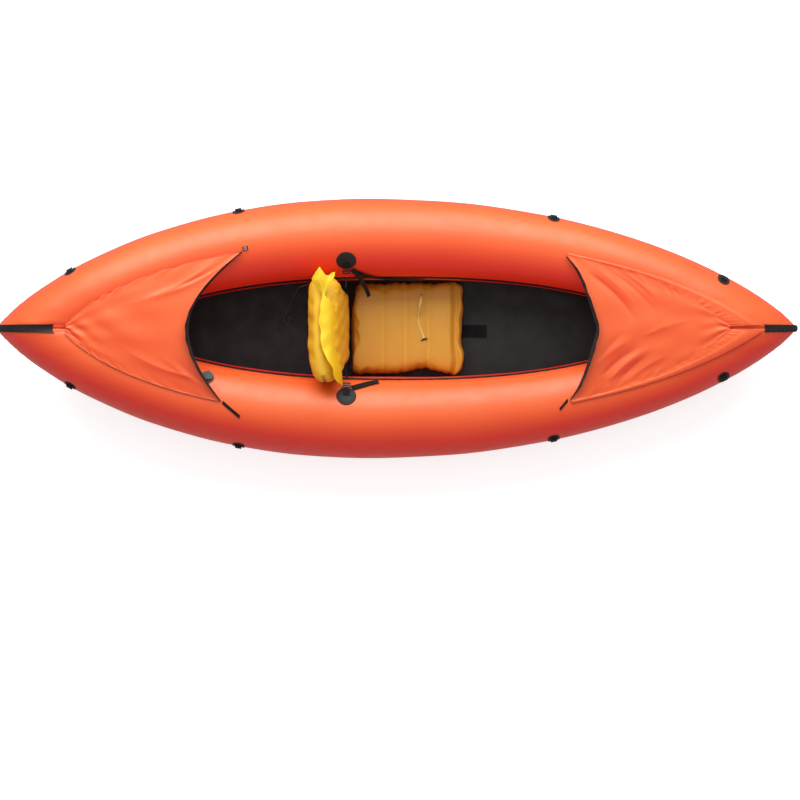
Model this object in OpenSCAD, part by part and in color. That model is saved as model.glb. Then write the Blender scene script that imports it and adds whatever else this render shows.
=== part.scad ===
// Inflatable single-seat kayak: a ring of two air tubes with a bonded floor, fabric
// decks, an inflatable seat and backrest, and the straps, valves and patches on it.
// Millimetres. X runs to the bow, Y to port, Z up, origin on the ground below the middle.

/* [Hull plan] */
// Half of the overall beam, at the outer side of the tubes
half_beam = 414; // [412:1:416]
// Station of the widest beam
widest_x = -94; // [-100:1:-88]
// Length of the boat aft of the widest beam
stern_len = 1154; // [1148:1:1156]
// Length of the boat forward of the widest beam
bow_len = 1342; // [1338:1:1346]
// Half of the gap between the tubes at its widest
half_gap = 155; // [154:1:157]
// Distance from the origin to the point where the tubes meet inside the stern
stern_crotch = 845; // [840:1:850]
// Distance from the origin to the point where the tubes meet inside the bow
bow_crotch = 829; // [824:1:834]

/* [Hull profile] */
// Height of the tubes' middle line before the ends rise
mid_height = 124.5; // [124:0.25:125]
// Slope of the middle line towards the stern
stern_slope = 0.16; // [0.15:0.005:0.17]
// Slope of the middle line towards the bow
bow_slope = 0.075; // [0.07:0.005:0.08]
// Half of the tube's height, averaged along the boat
tube_half_height = 126; // [125:0.5:127]
// Thickness of the coated hull fabric
skin_t = 1.2; // [1:0.1:1.5]

/* [Decks] */
// Thickness of the deck fabric
deck_t = 1; // [0.8:0.1:1.2]
// How far the middle of a deck's cockpit edge stands above its corners
deck_rise = 14; // [8:1:18]
// Height of the stand-up binding at the middle of the stern deck's edge
stern_rim_h = 24; // [18:1:28]
// Height of the stand-up binding at the middle of the bow deck's edge
bow_rim_h = 27; // [20:1:30]

/* [Seat] */
// Length of the seat cushion
seat_l = 368; // [362:1:370]
// Half of the seat cushion's width
seat_half_w = 154; // [148:1:156]
// Thickness of the seat cushion
seat_h = 54; // [48:1:56]
// Height of the backrest cushion above its hinge
backrest_h = 285; // [270:1:290]
// Half of the backrest's width above the tubes
backrest_half_w = 168; // [160:1:170]
// Thickness of the backrest cushion
backrest_t = 98; // [94:1:100]

/* [Fittings] */
// Half of a tie-down patch's width; its ends are round
tie_patch_half_w = 19.5; // [18:0.5:21]
// Radius of a strap patch
strap_patch_r = 31; // [29:0.5:32]
// Width of the strap webbing
strap_w = 20; // [18:1:22]
// Thickness of the strap webbing
strap_t = 1.5; // [1.2:0.1:1.6]
// Radius of the main valve's flange
valve_flange_r = 21; // [20:0.5:22]
// Radius of the seat's inflation tube
seat_tube_r = 3.5; // [3.2:0.1:3.6]
// Radius of the loose cord
cord_r = 1.75; // [1.6:0.05:1.8]

/* [Hidden] */

gap = 0.3;                    // clearance under pieces bonded to the hull
floor_t = 1.2;                // floor fabric
rest_z = floor_t + gap;       // the tubes' undersides stand on the floor sheet
seam_angle = -20;             // outer seam, below the tube's outer side
inner_angle = 161;            // inner seam, above the tube's inner side
stations = 32;                // intervals along the boat
upper_steps = 10;
lower_inner_steps = 5;
lower_outer_steps = 4;
inner_spread = 1.36;          // how fast the tubes' inner side reaches its ends
inner_spread_n = 8;

// ---- Hull surface: t runs from -1 at the stern to 1 at the bow, a round the tube ----
function along(t) = sin(90 * abs(t));
function spread(f) = inner_spread * f * pow(1 + pow(inner_spread * f, inner_spread_n),
                                            -1 / inner_spread_n);
function outer_x(t) = widest_x + (t < 0 ? -stern_len : bow_len) * along(t);
function outer_y(t) = half_beam * pow(max(0, 1 - pow(along(t), 2.12)), 0.8);
function inner_x(t) = widest_x + (t < 0 ? -(stern_crotch + widest_x) : bow_crotch - widest_x)
                      * spread(along(t)) / spread(1);
function inner_frac(x) = abs(x) / (x < 0 ? stern_crotch : bow_crotch);
function inner_y(t) = half_gap * pow(max(0, 1 - pow(inner_frac(inner_x(t)), 2.4)), 0.72);
function outer_pt(t) = [outer_x(t), outer_y(t)];
function inner_pt(t) = [inner_x(t), abs(t) == 1 ? 0 : inner_y(t)];
function mid_pt(t) = (outer_pt(t) + inner_pt(t)) / 2;
function half_w(t) = norm(outer_pt(t) - inner_pt(t)) / 2;
function out_dir(t) = (outer_pt(t) - inner_pt(t)) / (2 * half_w(t));
function bend(d, r) = (d + sqrt(d * d + r * r)) / 2;
function soft_step(v) = v / sqrt(1 + v * v);
function bump(x, centre, width) = exp(-pow((x - centre) / width, 2));
function mid_z(x) = mid_height + stern_slope * bend(-x - 515, 250)
                    + bow_slope * bend(x - 460, 200);
function half_h(t) = let (x = mid_pt(t)[0])
    (tube_half_height - 18 * soft_step((x - 100) / 400) + 10 * bump(x, -880, 130)
     + 12 * bump(x, 1040, 160)) * (1 - 0.07 * pow(abs(t), 10));
function hull(t, a, off = 0) = let (p = mid_pt(t) + out_dir(t) * (half_w(t) + off) * cos(a))
    [p[0], p[1], max(rest_z - off, mid_z(p[0]) + (half_h(t) + off) * sin(a))];
function seam(t) = seam_angle * (1 - pow(abs(t), 5));
function t_of_width(w) = asin(pow(1 - pow(w / half_beam, 1.25), 1 / 2.12)) / 90;
function station(i) = -1 + 2 * i / stations;
function mix(a, b, f) = a + (b - a) * f;
function flip(p) = [p[0], -p[1], p[2]];

// A closed slab between two grids of points with the same rows and columns. Squares in the
// columns before turn are split along their other diagonal.
module slab(over, under, turn = 0) {
    rows = len(over);
    cols = len(over[0]);
    n = rows * cols;
    edge = concat([for (j = [0:cols - 1]) j], [for (i = [1:rows - 1]) i * cols + cols - 1],
                  [for (j = [cols - 2:-1:0]) (rows - 1) * cols + j],
                  [for (i = [rows - 2:-1:1]) i * cols]);
    quads = [for (i = [0:rows - 2], j = [0:cols - 2])
        let (k = i * cols + j, q = [k, k + 1, k + cols + 1, k + cols])
            j < turn ? [q[1], q[2], q[3], q[0]] : q];
    tris = [for (q = quads) each [[q[0], q[1], q[2]], [q[0], q[2], q[3]]]];
    back = [for (f = tris) [f[2] + n, f[1] + n, f[0] + n]];
    rim = [for (e = [0:len(edge) - 1]) let (a = edge[e], b = edge[(e + 1) % len(edge)])
        each [[b, a, a + n], [b, a + n, b + n]]];
    polyhedron(points = concat([for (r = over) each r], [for (r = under) each r]),
               faces = concat(tris, back, rim));
}

// A tube of constant radius swept along a list of points, with flat ends
module swept_tube(path, r, sides = 8) {
    n = len(path);
    ahead = [for (i = [0:n - 1]) let (d = path[min(i + 1, n - 1)] - path[max(i - 1, 0)])
        d / norm(d)];
    side = [for (d = ahead) let (s = cross(d, abs(d[2]) > 0.8 ? [1, 0, 0] : [0, 0, 1]))
        s / norm(s)];
    rings = [for (i = [0:n - 1], k = [0:sides - 1])
        path[i] + r * (side[i] * cos(360 * k / sides)
                       + cross(side[i], ahead[i]) * sin(360 * k / sides))];
    walls = [for (i = [0:n - 2], k = [0:sides - 1])
        let (a = i * sides + k, b = i * sides + (k + 1) % sides)
        each [[a, a + sides, b], [b, a + sides, b + sides]]];
    polyhedron(points = rings, faces = concat(
        [[for (k = [0:sides - 1]) k]], walls, [[for (k = [sides - 1:-1:0]) (n - 1) * sides + k]]));
}

// Local frame on the hull: X along the tube, Y round it, Z straight out
module on_hull(t, a, off, port_side = true) {
    step = 0.002;
    p = hull(t, a, off);
    u0 = hull(t + step, a, off) - hull(t - step, a, off);
    v0 = hull(t, a + 1, off) - hull(t, a - 1, off);
    u = u0 / norm(u0);
    w0 = cross(u, v0);
    w = w0 / norm(w0) * (cross(u, v0) * hull_out(t, a) > 0 ? 1 : -1);
    v = cross(w, u);
    mirror([0, port_side ? 0 : 1, 0])
        multmatrix([[u[0], v[0], w[0], p[0]], [u[1], v[1], w[1], p[1]],
                    [u[2], v[2], w[2], p[2]], [0, 0, 0, 1]])
            children();
}
function hull_out(t, a) = hull(t, a, 10) - hull(t, a, 0);

// ---- Hull skins ----
function upper_angle(t, j) = mix(seam(t), inner_angle, j / upper_steps);
function lower_angle(t, j) = j <= lower_inner_steps
    ? mix(inner_angle, 270, j / lower_inner_steps)
    : mix(270, 360 + seam(t), (j - lower_inner_steps) / lower_outer_steps);
module skin(angles) {
    slab(over = [for (i = [0:stations]) let (t = station(i)) [for (a = angles(t)) hull(t, a, 0)]],
         under = [for (i = [0:stations]) let (t = station(i))
             [for (a = angles(t)) hull(t, a, -skin_t)]]);
}
module upper_skin() { skin(function (t) [for (j = [0:upper_steps]) upper_angle(t, j)]); }
module lower_skin() {
    skin(function (t) [for (j = [0:lower_inner_steps + lower_outer_steps]) lower_angle(t, j)]);
}
module port_upper_skin() { color("orangered") upper_skin(); }
module port_lower_skin() { color("tomato") lower_skin(); }
module starboard_upper_skin() { color("orangered") mirror([0, 1, 0]) upper_skin(); }
module starboard_lower_skin() { color("tomato") mirror([0, 1, 0]) lower_skin(); }

// ---- Tapes ----
tape_t = 1;
module tape(t_end, n, mid_angle, spread_deg, off) {
    rows = [for (i = [-n:n]) t_end * i / n];
    slab(over = [for (t = rows) [for (s = [-1, 1])
             hull(t, mid_angle(t) + s * spread_deg, off + tape_t)]],
         under = [for (t = rows) [for (s = [-1, 1]) hull(t, mid_angle(t) + s * spread_deg, off)]]);
}
module side_tape() { tape(29 / 32 + 1 / 64, 30, function (t) seam(t), 3.4, 0.8); }
module inner_tape() { tape(24 / 32, 24, function (t) inner_angle, 3.2, 0.9); }
module port_side_tape() { color("black") side_tape(); }
module starboard_side_tape() { color("black") mirror([0, 1, 0]) side_tape(); }
module port_inner_tape() { color("black") inner_tape(); }
module starboard_inner_tape() { color("black") mirror([0, 1, 0]) inner_tape(); }

end_tape_half_w = 11.5;
module end_tape(toward, first, last) {
    rows = 26;
    angles = [for (k = [0:rows]) mix(first, last, k / rows)];
    edge_t = function (a) toward * t_of_width(2 * end_tape_half_w / (1 + cos(a)));
    layer = function (off) [for (a = angles)
        let (p = hull(edge_t(a), a, off), top = hull(toward, a, off)) [p, top, flip(p)]];
    slab(over = layer(2.4), under = layer(1.3));
}
module bow_end_tape() { color("black") end_tape(1, 66, -58); }
module stern_end_tape() { color("black") end_tape(-1, 87, -58); }

// ---- Floor: flat between the tubes' undersides and wrapped round them a little ----
floor_end = 26 / 32;
module floor_sheet() {
    inside = [0.75, 0.4, 0, -0.4, -0.75];
    rows = [for (i = [-13:13]) floor_end * i / 13];
    row = function (t, off) let (
            w2 = hull(t, lower_angle(t, 7), off), w1 = hull(t, lower_angle(t, 6), off),
            w0 = hull(t, 270, off))
        concat([w2, w1, w0], [for (f = inside) [w0[0], w0[1] * f, w0[2]]],
               [flip(w0), flip(w1), flip(w2)]);
    color("black")
        slab(over = [for (t = rows) row(t, gap)], under = [for (t = rows) row(t, rest_z)], turn = 5);
}

// ---- Decks ----
deck_off = 3.4;
crest_angle = 95;
deck_rows = 14;
deck_cols = 4;                // columns from the centre line to a tube's crest
function edge_angle(t) = t < 0 ? 97 : 90 - 26 * pow(max(0, t - 0.35) / 0.65, 1.2);
// The starboard corners lie a little further from the cockpit than the port ones
function corner_t(side, v) = side < 0 ? (v < 0 ? -0.278 : -0.236) : (v < 0 ? 0.319 : 0.312);
function rim_t(side) = side < 0 ? -0.343 : 0.3675;
function deck_end_t(side) = side < 0 ? -0.885 : 0.925;
// How far the cockpit edge has run from its middle to its corner: a curve aft, a V forward
function edge_run(side, v) = side < 0 ? pow(v, 2) : 0.72 * v + 0.28 * pow(v, 6);
function deck_start(side, v) = mix(rim_t(side), corner_t(side, v), edge_run(side, min(1, abs(v))));
// v is 0 on the centre line, 1 on the crest, and up to 1.2 at the deck's side edge
function deck_pt(side, v, s, off) =
    let (t = mix(deck_start(side, v), deck_end_t(side), s),
         crest = max(crest_angle, edge_angle(t)), f = (min(1.2, abs(v)) - 1) / 0.2,
         c = hull(t, crest, deck_off + off), lift = deck_rise * pow(1 - s, 2),
         e = hull(t, mix(crest, edge_angle(t) - 1, max(0, f)), deck_off + off),
         p = abs(v) > 1 ? e : [c[0], c[1] * abs(v), c[2] + lift * (1 - pow(v, 2))])
    v < 0 ? flip(p) : p;
deck_vs = concat([-1.2], [for (k = [-deck_cols:deck_cols]) k / deck_cols], [1.2]);
module deck(side) {
    layer = function (off) [for (i = [0:deck_rows])
        [for (v = deck_vs) deck_pt(side, v, i / deck_rows, off)]];
    slab(over = layer(deck_t), under = layer(0));
}
module stern_deck() { color("orangered") deck(-1); }
module bow_deck() { color("orangered") deck(1); }
rim_lean = 0.2;               // the stand-up binding leans back over the deck
module deck_binding(side, rim_h) {
    back = side < 0 ? 1 : -1;
    vs = [for (k = [-deck_cols:deck_cols]) k / deck_cols];
    shift = function (v, dx, dz) deck_pt(side, v, 0, 0) + [back * dx, 0, dz];
    height = function (v) mix(rim_h, 6, pow(abs(v), 3.5));
    layer = function (dx) [for (v = vs) [shift(v, dx, -1),
                                         shift(v, dx - rim_lean * height(v), height(v))]];
    slab(over = layer(2.8), under = layer(0.6));
}
module stern_deck_binding() { color("black") deck_binding(-1, stern_rim_h); }
module bow_deck_binding() { color("black") deck_binding(1, bow_rim_h); }

tab_l = 16;
tab_w = 12;
tab_t = 1.6;
tab_hole_r = 3.4;
tab_place_t = -0.2285;        // just forward of the stern deck's port corner
module eyelet_tab() {
    on_hull(tab_place_t, 93, 0.9) difference() {
        translate([-tab_l / 2, -tab_w / 2, 0]) cube([tab_l, tab_w, tab_t]);
        translate([0, 0, -1]) cylinder(r = tab_hole_r, h = tab_t + 2, $fn = 48);
    }
}
// A strap end that holds a starboard corner, on the hull between two places, each [t, angle]
module corner_tab(from, to) {
    rows = [for (i = [5:-1:0]) mix(from, to, i / 5)];
    layer = function (off) [for (r = rows) [for (s = [-1, 1]) hull(r[0], r[1] + s * 2.3, off)]];
    mirror([0, 1, 0]) slab(over = layer(0.9 + tab_t), under = layer(0.9));
}
module stern_deck_tabs() {
    color("black") {
        eyelet_tab();
        corner_tab([-0.2735, 96], [-0.236, 80]);
    }
}
module bow_deck_tab() { color("black") corner_tab([0.314, 95], [0.298, 83]); }
module stern_deck_eyelet() {
    color("silver") on_hull(tab_place_t, 93, 0.9)
        difference() {
            union() {
                cylinder(r = tab_hole_r - 0.1, h = tab_t + 0.1, $fn = 48);
                translate([0, 0, tab_t + 0.1]) cylinder(r = 5.5, h = 0.9, $fn = 48);
            }
            translate([0, 0, -1]) cylinder(r = 2.5, h = 6, $fn = 48);
        }
}

// ---- Tie-down points: four a side, from stern to bow ----
tie_places = [[-0.6, 24], [-0.235, 17], [0.285, 21], [0.63, 33]];
patch_t = 1.2;
patch_bend_r = 124;           // the patches curve with the tube
loop_gap = 3.8;               // height under the webbing of a tie loop
loop_half_l = 11;             // half of the clear span under it
loop_t = 1.6;
loop_w = 20;
foot_l = 6;
// A flat fabric piece bent round the tube, cut to the outline of the shape given
module bent_patch(r) {
    intersection() {
        translate([0, 0, -patch_bend_r]) rotate([0, 90, 0])
            difference() {
                cylinder(r = patch_bend_r + patch_t, h = 3 * r, center = true, $fn = 96);
                cylinder(r = patch_bend_r, h = 3 * r + 2, center = true, $fn = 96);
            }
        translate([0, 0, -10]) children();
    }
}
tie_patch_half_l = 28;
module oval(half_w, half_l) {
    for (s = [-1, 1]) translate([0, s * (half_l - half_w), 0]) cylinder(r = half_w, h = 20, $fn = 96);
    translate([-half_w, half_w - half_l, 0]) cube([2 * half_w, 2 * (half_l - half_w), 20]);
}
module tie_patch(k) {
    place = tie_places[k % 4];
    color("dimgray") on_hull(place[0], place[1], 0.9, k < 4)
        bent_patch(tie_patch_half_l) oval(tie_patch_half_w, tie_patch_half_l);
}
module tie_loop(k) {
    place = tie_places[k % 4];
    half = loop_half_l + loop_t;
    color("black") on_hull(place[0], place[1], 0.9 + patch_t + 0.1, k < 4)
        rotate([90, 0, 90]) translate([0, 0, -loop_w / 2])
            linear_extrude(loop_w)
                polygon([[-half - foot_l, 0], [-loop_half_l, 0], [-loop_half_l + 1.2, loop_gap],
                         [loop_half_l - 1.2, loop_gap], [loop_half_l, 0], [half + foot_l, 0],
                         [half + foot_l, loop_t], [half + 0.2, loop_t], [half - 1, loop_gap + loop_t],
                         [-half + 1, loop_gap + loop_t], [-half - 0.2, loop_t],
                         [-half - foot_l, loop_t]]);
}
module tie_patch_1() { tie_patch(0); }
module tie_patch_2() { tie_patch(1); }
module tie_patch_3() { tie_patch(2); }
module tie_patch_4() { tie_patch(3); }
module tie_patch_5() { tie_patch(4); }
module tie_patch_6() { tie_patch(5); }
module tie_patch_7() { tie_patch(6); }
module tie_patch_8() { tie_patch(7); }
module tie_loop_1() { tie_loop(0); }
module tie_loop_2() { tie_loop(1); }
module tie_loop_3() { tie_loop(2); }
module tie_loop_4() { tie_loop(3); }
module tie_loop_5() { tie_loop(4); }
module tie_loop_6() { tie_loop(5); }
module tie_loop_7() { tie_loop(6); }
module tie_loop_8() { tie_loop(7); }

// ---- Seat and backrest ----
seat_back_x = -161;
seat_z = 4.6;
seat_pitch = 0.9;             // the seat follows the floor's rise to the bow
hook_w = 42;
hook_y = -31;
hook_t = 2;
module on_seat() { translate([seat_back_x, 0, seat_z]) rotate([0, -seat_pitch, 0]) children(); }
module seat_cushion() {
    r = seat_h / 2;
    color("goldenrod") on_seat() hull() {
        for (x = [r, seat_l - r], y = [-1, 1])
            translate([x, y * (seat_half_w - r), r]) sphere(r = r, $fn = 32);
    }
}
module seat_hook_strip() {
    rows = [for (i = [0:3]) let (p = hull(i / 16, 270, gap)) [p[0], p[2] + gap]];
    layer = function (h) [for (r = rows) [for (y = [0, hook_w]) [r[0], hook_y + y, r[1] + h]]];
    color("dimgray") slab(over = layer(hook_t), under = layer(0));
}

hinge_x = -150;
hinge_z = 52;
backrest_lean = 8;
backrest_gap = 5;
// Half-widths rise past the tubes' inner sides: [height above the hinge, half-width]
backrest_shape = [[4, 118, 0.7], [22, 131, 0.95], [110, 134, 1], [150, 143, 1],
                  [186, 162, 1], [215, backrest_half_w, 0.97], [250, backrest_half_w, 0.84],
                  [backrest_h - 12, 158, 0.6], [backrest_h, 144, 0.3]];
function rounded_row(half_w, half_t, n) = [for (k = [0:n - 1]) let (a = 360 * k / n)
    [half_t * sign(cos(a)) * pow(abs(cos(a)), 0.7), half_w * sign(sin(a)) * pow(abs(sin(a)), 0.35)]];
module lofted(rows) {
    n = len(rows[0]);
    m = len(rows);
    polyhedron(points = [for (r = rows) each r], faces = concat(
        [[for (k = [0:n - 1]) k]], [[for (k = [n - 1:-1:0]) (m - 1) * n + k]],
        [for (i = [0:m - 2], k = [0:n - 1])
            let (a = i * n + k, b = i * n + (k + 1) % n)
            each [[a, a + n, b], [b, a + n, b + n]]]));
}
module backrest_frame() {
    translate([hinge_x - backrest_gap, 0, hinge_z]) rotate([0, -backrest_lean, 0])
        translate([-backrest_t / 2, 0, 0]) children();
}
module backrest_cushion() {
    color("gold") backrest_frame()
        lofted([for (s = backrest_shape)
            [for (p = rounded_row(s[1], backrest_t / 2 * s[2], 32)) [p[0], p[1], s[0]]]]);
}
flap_half_l = 182;
flap_h = 26;
flap_t = 14;
module backrest_top_flap() {
    color("yellow") backrest_frame()
        lofted([for (s = [[0.6, 0.8, 1], [0.3 * flap_h, 1, 1], [0.75 * flap_h, 0.9, 0.7],
                          [flap_h, 0.7, 0.3]])
            [for (p = rounded_row(flap_half_l * s[1], flap_t / 2 * s[2], 24))
                [p[0], p[1], backrest_h + s[0]]]]);
}
webbing_z = 59.8;
module backrest_hinge_webbing() {
    color("black") translate([0, 0, webbing_z]) linear_extrude(1.4) {
        polygon([[-157.5, 76], [-154.5, 76], [-143, 142], [-157.5, 142]]);
        polygon([[-157.5, -88], [-153, -94], [-153, -142], [-157.5, -142]]);
    }
}

// ---- Seat inflation tube, lying on the seat's top (in the seat's own frame) ----
tube_z = seat_h + seat_tube_r + 0.4;
gland_h = 3.2;
seat_tube_route = [
    [232, 108, seat_h + 4.2], [232, 108, seat_h + 10], [231.6, 106, seat_h + 19],
    [231, 100, seat_h + 28], [229.5, 91, seat_h + 33.5], [227.5, 80, seat_h + 34],
    [225.5, 69, seat_h + 29], [224, 59, seat_h + 21.5], [223, 50, seat_h + 14.5],
    [222.3, 41, seat_h + 9], [222, 32, tube_z + 1.9], [222.3, 23, tube_z + 0.4],
    [224, 14, tube_z], [227, 5, tube_z], [231, -8, tube_z], [235, -20, tube_z]];
tube_end = seat_tube_route[len(seat_tube_route) - 1];
end_dir_deg = atan2(-12, 4);
mouth_r = 5;
mouth_l = 12;
mouth_lift = 1.7;
plug_r = 2.5;
module seat_tube_gland() {
    color("gold") on_seat() translate([232, 108, seat_h + 0.2]) cylinder(r = 11, h = gland_h, $fn = 48);
}
module seat_inflation_tube() {
    color("khaki") on_seat() swept_tube(seat_tube_route, seat_tube_r, 10);
}
module at_tube_end() {
    on_seat() translate(tube_end + [0, 0, mouth_lift]) rotate([0, 0, end_dir_deg])
        rotate([0, 90, 0]) translate([0, 0, 0.6]) children();
}
module seat_tube_mouthpiece() {
    color("khaki") at_tube_end() difference() {
        cylinder(r = mouth_r, h = mouth_l, $fn = 48);
        translate([0, 0, 2]) cylinder(r = plug_r + 0.05, h = mouth_l, $fn = 48);
    }
}
module seat_plug() {
    color("black") at_tube_end() {
        translate([0, 0, mouth_l - 8]) cylinder(r = plug_r, h = 10, $fn = 48);
        translate([0, 0, mouth_l + 0.5]) cylinder(r = 4.6, h = 2, $fn = 48);
        translate([-2.2, -11, mouth_l + 2.4]) cube([4.4, 22, 4]);
    }
}

// ---- Strap patches, buckles and straps, mirrored port and starboard ----
strap_place_t = -0.044;
strap_angle = 124;
strap_off = 1.2;
buckle_l = 24;
buckle_w = 27;
buckle_t = 3;
slot_w = 3.6;
buckle_y = 32;                // distance down the slope from the patch to the buckle
// The frame's Y runs down the slope to the cockpit and its X runs aft
module at_strap_patch(port_side) {
    on_hull(strap_place_t, strap_angle, strap_off, port_side) rotate([0, 0, 180]) children();
}
module strap_patch(port_side) {
    color("black") at_strap_patch(port_side)
        bent_patch(strap_patch_r) cylinder(r = strap_patch_r, h = 20, $fn = 96);
}
module patch_webbing(port_side) {
    color("black") at_strap_patch(port_side)
        translate([-strap_w / 2, 0, patch_t + 0.3]) rotate([3, 0, 0]) {
            cube([strap_w, buckle_y - 9, strap_t]);
            translate([0, buckle_y - 9.1, -0.9]) cube([strap_w, 2.6, 3.2]);
        }
}
module buckle(port_side) {
    color("dimgray") at_strap_patch(port_side)
        translate([0, buckle_y, patch_t + 4.6]) difference() {
            translate([-buckle_w / 2, -buckle_l / 2 + 6.5, -buckle_t / 2])
                cube([buckle_w, buckle_l - 6.5, buckle_t]);
            for (y = [-1.6, 5.4])
                translate([-strap_w / 2 - 1, y, -buckle_t]) cube([strap_w + 2, slot_w, 2 * buckle_t]);
        }
}
module port_strap_patch() { strap_patch(true); }
module starboard_strap_patch() { strap_patch(false); }
module port_patch_webbing() { patch_webbing(true); }
module starboard_patch_webbing() { patch_webbing(false); }
module port_buckle() { buckle(true); }
module starboard_buckle() { buckle(false); }

// A flat strap along a list of points: width runs along across, thickness along up
module strap(path, across, up, w = strap_w, t = strap_t) {
    slab(over = [for (i = [0:len(path) - 1])
             [path[i] - across[i] * w / 2 + up[i] * t / 2, path[i] + across[i] * w / 2 + up[i] * t / 2]],
         under = [for (i = [0:len(path) - 1])
             [path[i] - across[i] * w / 2 - up[i] * t / 2, path[i] + across[i] * w / 2 - up[i] * t / 2]]);
}
module port_back_strap() { color("black") back_strap(); }
module starboard_back_strap() { color("black") mirror([0, 1, 0]) back_strap(); }
module back_strap() {
    path = [[-171, 128, 208], [-168, 144, 218], [-166, 157, 227]];
    strap(path, [for (p = path) [0.35, -0.5, 0.79]], [for (p = path) [0.93, 0.03, -0.38]], 12);
}
module port_strap_tail() {
    path = [[-147, 178, 227], [-137, 170, 217], [-127, 157, 197], [-115, 139, 160],
            [-106, 121, 118], [-100, 104, 80]];
    color("black")
        strap(path, [for (p = path) [0.76, 0.65, 0]], [for (p = path) [0.57, -0.67, 0.46]], 13);
}
strap_climb = 0.8;            // a strap lies this much higher at its loose end, over the tape
// A strap lying on the hull between two places, each [t, angle]; ease above 1 turns down sooner
module hull_strap(from, to, half_deg, ease) {
    rows = [for (i = [0:8]) [mix(from[0], to[0], i / 8),
                             mix(from[1], to[1], 1 - pow(1 - i / 8, ease)), strap_climb * i / 8]];
    layer = function (off)
        [for (r = rows) [for (s = [-1, 1]) hull(r[0], r[1] + s * half_deg, r[2] + off)]];
    slab(over = layer(2.4 + strap_t), under = layer(2.4));
}
module port_forward_strap() { color("black") hull_strap([-0.034, 139], [0.088, 170], 3.6, 2.5); }
module starboard_strap_tail() {
    color("black") mirror([0, 1, 0]) hull_strap([-0.034, 137], [0.013, 152], 4.6, 1);
}

// ---- Main valve on the starboard tube, beside the stern deck ----
valve_t = -0.317;
valve_angle = 128;
valve_bore_r = 11;
cap_r = 16;
module at_valve(h = 0) { on_hull(valve_t, valve_angle, 0.9 + h, false) children(); }
module main_valve_flange() {
    color("dimgray") at_valve() difference() {
        union() {
            translate([0, 0, 1]) cylinder(r = valve_flange_r, h = 1.2, $fn = 96);
            translate([0, 0, 1]) cylinder(r = 15.5, h = 4, $fn = 96);
        }
        cylinder(r = 13.6, h = 12, $fn = 96);
    }
}
module main_valve_body() {
    color("gray") at_valve() difference() {
        union() {
            translate([0, 0, 1]) cylinder(r = 13.5, h = 6, $fn = 96);
            translate([0, 0, 5.1]) cylinder(r = 15, h = 1.9, $fn = 96);
        }
        translate([0, 0, 2.4]) cylinder(r = valve_bore_r, h = 12, $fn = 96);
        for (a = [0:60:300]) rotate([0, 0, a]) translate([6.5, 0, 0]) cylinder(r = 2, h = 4, $fn = 24);
    }
}
module main_valve_flap() {
    color("black") at_valve() translate([0, 0, 0.2]) cylinder(r = 10.4, h = 0.6, $fn = 96);
}
module main_valve_cap() {
    color("dimgray") at_valve() {
        difference() {
            translate([0, 0, 7.2]) cylinder(r = cap_r, h = 3.2, $fn = 96);
            translate([0, 0, 9.6]) difference() {
                cylinder(r = 12, h = 2, $fn = 96);
                translate([-2, -13, -1]) cube([4, 26, 4]);
            }
        }
        translate([-4, -cap_r - 4.5, 7.2]) cube([8, 6, 1.2]);
    }
}

// ---- Loose cord on a small fitting at the port tube ----
fitting_t = -0.11;
fitting_h = 4;
cord_route = [
    [-272.3, 159.2, 203.5], [-272.1, 155.4, 205], [-272.2, 151.2, 204.4], [-272.6, 147.6, 200],
    [-275, 144.5, 192], [-282, 142, 178], [-293, 139.5, 155], [-305, 137.5, 128], [-316, 136, 98],
    [-325, 134, 66], [-332, 130, 36], [-338, 124, 14], [-344, 115, 5], [-350, 104, 3.4],
    [-357, 88, 3.4], [-364, 71, 3.4], [-370, 57, 3.4], [-378, 46, 3.4], [-383, 34, 3.4],
    [-380, 22, 3.4], [-372, 16, 3.4], [-364, 20, 3.4], [-362, 30, 3.4], [-366, 40, 3.4]];
module loose_cord() { color("sienna") swept_tube(cord_route, cord_r, 8); }
module loose_cord_fitting() {
    color("black") on_hull(fitting_t, 151, 0.9, true) cylinder(r = 6, h = fitting_h, $fn = 48);
}

port_upper_skin();
port_lower_skin();
starboard_upper_skin();
starboard_lower_skin();
port_side_tape();
starboard_side_tape();
port_inner_tape();
starboard_inner_tape();
bow_end_tape();
stern_end_tape();
floor_sheet();
stern_deck();
bow_deck();
stern_deck_binding();
bow_deck_binding();
stern_deck_tabs();
bow_deck_tab();
stern_deck_eyelet();
tie_patch_1();
tie_patch_2();
tie_patch_3();
tie_patch_4();
tie_patch_5();
tie_patch_6();
tie_patch_7();
tie_patch_8();
tie_loop_1();
tie_loop_2();
tie_loop_3();
tie_loop_4();
tie_loop_5();
tie_loop_6();
tie_loop_7();
tie_loop_8();
seat_cushion();
seat_hook_strip();
backrest_cushion();
backrest_top_flap();
backrest_hinge_webbing();
seat_tube_gland();
seat_inflation_tube();
seat_tube_mouthpiece();
seat_plug();
port_strap_patch();
starboard_strap_patch();
port_patch_webbing();
starboard_patch_webbing();
port_buckle();
starboard_buckle();
port_back_strap();
starboard_back_strap();
port_forward_strap();
port_strap_tail();
starboard_strap_tail();
main_valve_flange();
main_valve_body();
main_valve_flap();
main_valve_cap();
loose_cord();
loose_cord_fitting();
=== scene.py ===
"""Inflatable single-seat kayak: fabric, tapes, decks, seat, straps and cords round the CAD frame.

Points are worked out in millimetres in the CAD's frame (X to the bow, Y to port, Z up) and
become metres when a mesh is made.
"""

import math

import bmesh
import bpy
import numpy as np
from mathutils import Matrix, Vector
from mathutils.kdtree import KDTree


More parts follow.
